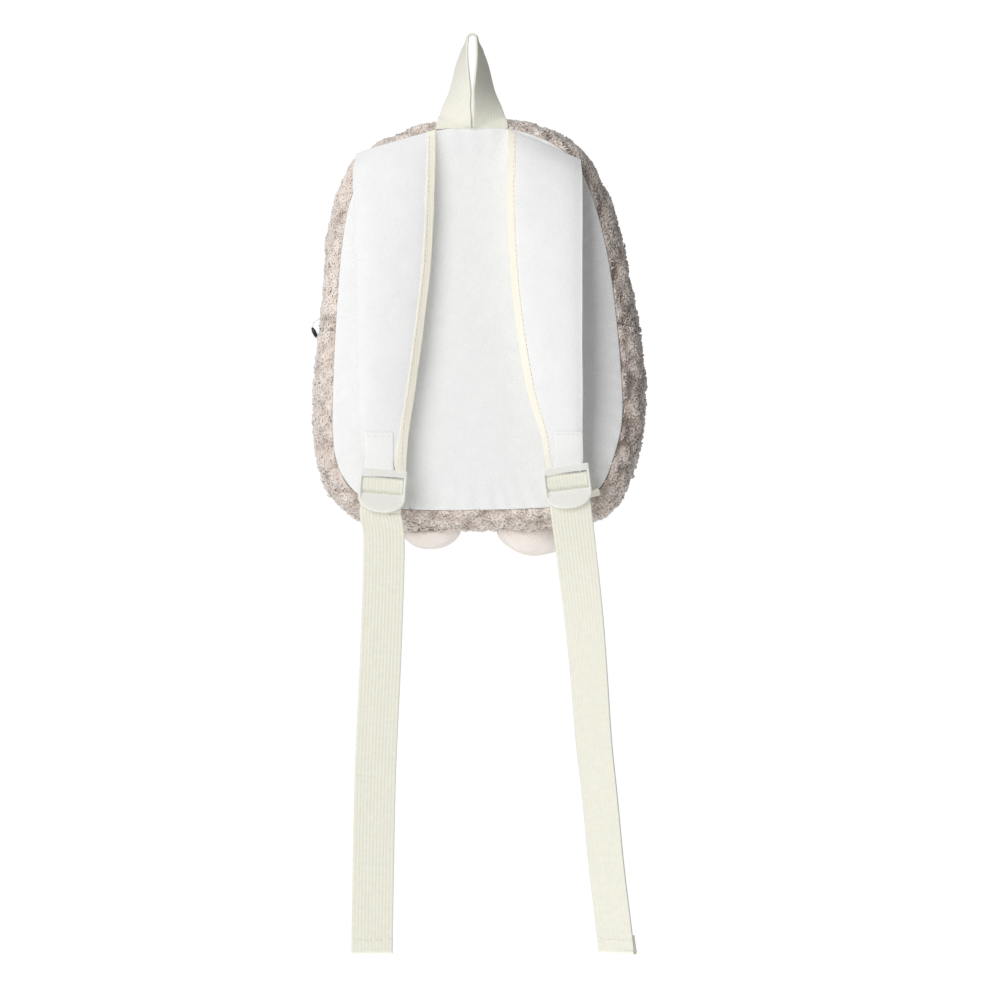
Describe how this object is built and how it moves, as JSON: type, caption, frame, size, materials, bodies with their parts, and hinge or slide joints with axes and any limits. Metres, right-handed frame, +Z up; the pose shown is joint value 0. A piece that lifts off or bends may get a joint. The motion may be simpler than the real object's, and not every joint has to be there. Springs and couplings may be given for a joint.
{
  "type": "kids backpack",
  "caption": "Small child's plush backpack hanging by its webbing loop, with a zip over the top, padded shoulder straps, ladder-lock adjusters on free webbing tails and stuffed feet below.",
  "frame": {"origin": "underside of the hang loop's crown, where a hook bears", "axes": "+Z up, +X to the right of the back view, +Y from the back panel towards the front of the bag"},
  "size_m": [0.2082, 0.1234, 0.5759],
  "materials": {
    "taupe_plush": "curly short plush pile",
    "white_plush": "fine brushed pile",
    "pale_plush": "short brushed pile",
    "cream_webbing": "ribbed woven webbing",
    "cream_binding": "folded bias binding",
    "white_tape": "smooth woven tape",
    "zip_cloth": "woven zip tape with coil",
    "white_plastic": "translucent satin plastic",
    "dark_plastic": "satin"
  },
  "bodies": {
    "root": {"back_panel": "white_plush", "gusset_upper_back": "taupe_plush", "gusset_upper_front": "taupe_plush", "gusset_lower": "taupe_plush", "front_panel": "taupe_plush", "zip_tape": "zip_cloth", "zip_slider": "dark_plastic", "hang_loop": "cream_webbing", "left_foot": "pale_plush", "right_foot": "pale_plush", "left_strap_pad": "white_plush", "right_strap_pad": "white_plush", "left_strap_binding": "cream_binding", "right_strap_binding": "cream_binding", "left_strap_loop": "white_tape", "right_strap_loop": "white_tape", "left_adjuster": "white_plastic", "right_adjuster": "white_plastic", "left_webbing": "cream_webbing", "right_webbing": "cream_webbing"}
  },
  "joints": []
}
